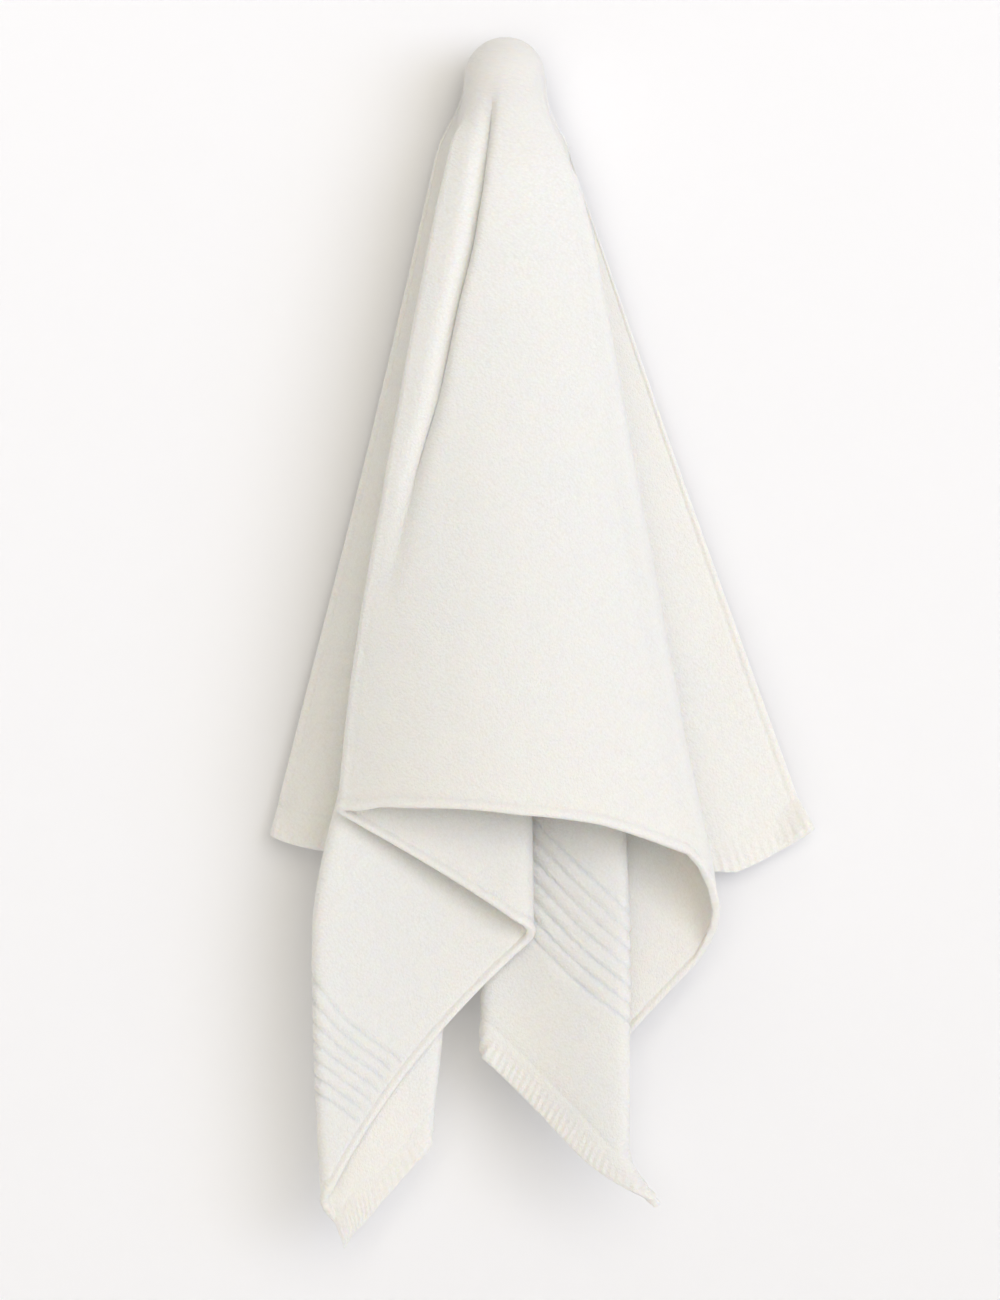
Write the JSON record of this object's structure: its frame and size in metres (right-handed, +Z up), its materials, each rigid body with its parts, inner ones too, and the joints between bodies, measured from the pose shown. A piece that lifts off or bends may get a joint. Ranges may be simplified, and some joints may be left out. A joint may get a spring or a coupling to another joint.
{
  "type": "bath towel on a wall peg",
  "caption": "Terry bath towel hung near its middle over a round-headed wall peg, in deep uneven folds that end in long pointed tails.",
  "frame": {"origin": "centre of the wall plate's back face, on the wall, on the peg's axis", "axes": "+Y into the wall, so the room and the towel are towards -Y; +Z up; +X to the right as seen from the room"},
  "size_m": [0.3931, 0.1731, 0.8711],
  "materials": {
    "metal": "satin turned aluminium",
    "terry": "warm white cotton terry, loops on both faces, with a wavy woven border near each end"
  },
  "bodies": {
    "root": {"wall_plate": "metal", "peg": "metal", "towel": "terry"}
  },
  "joints": []
}
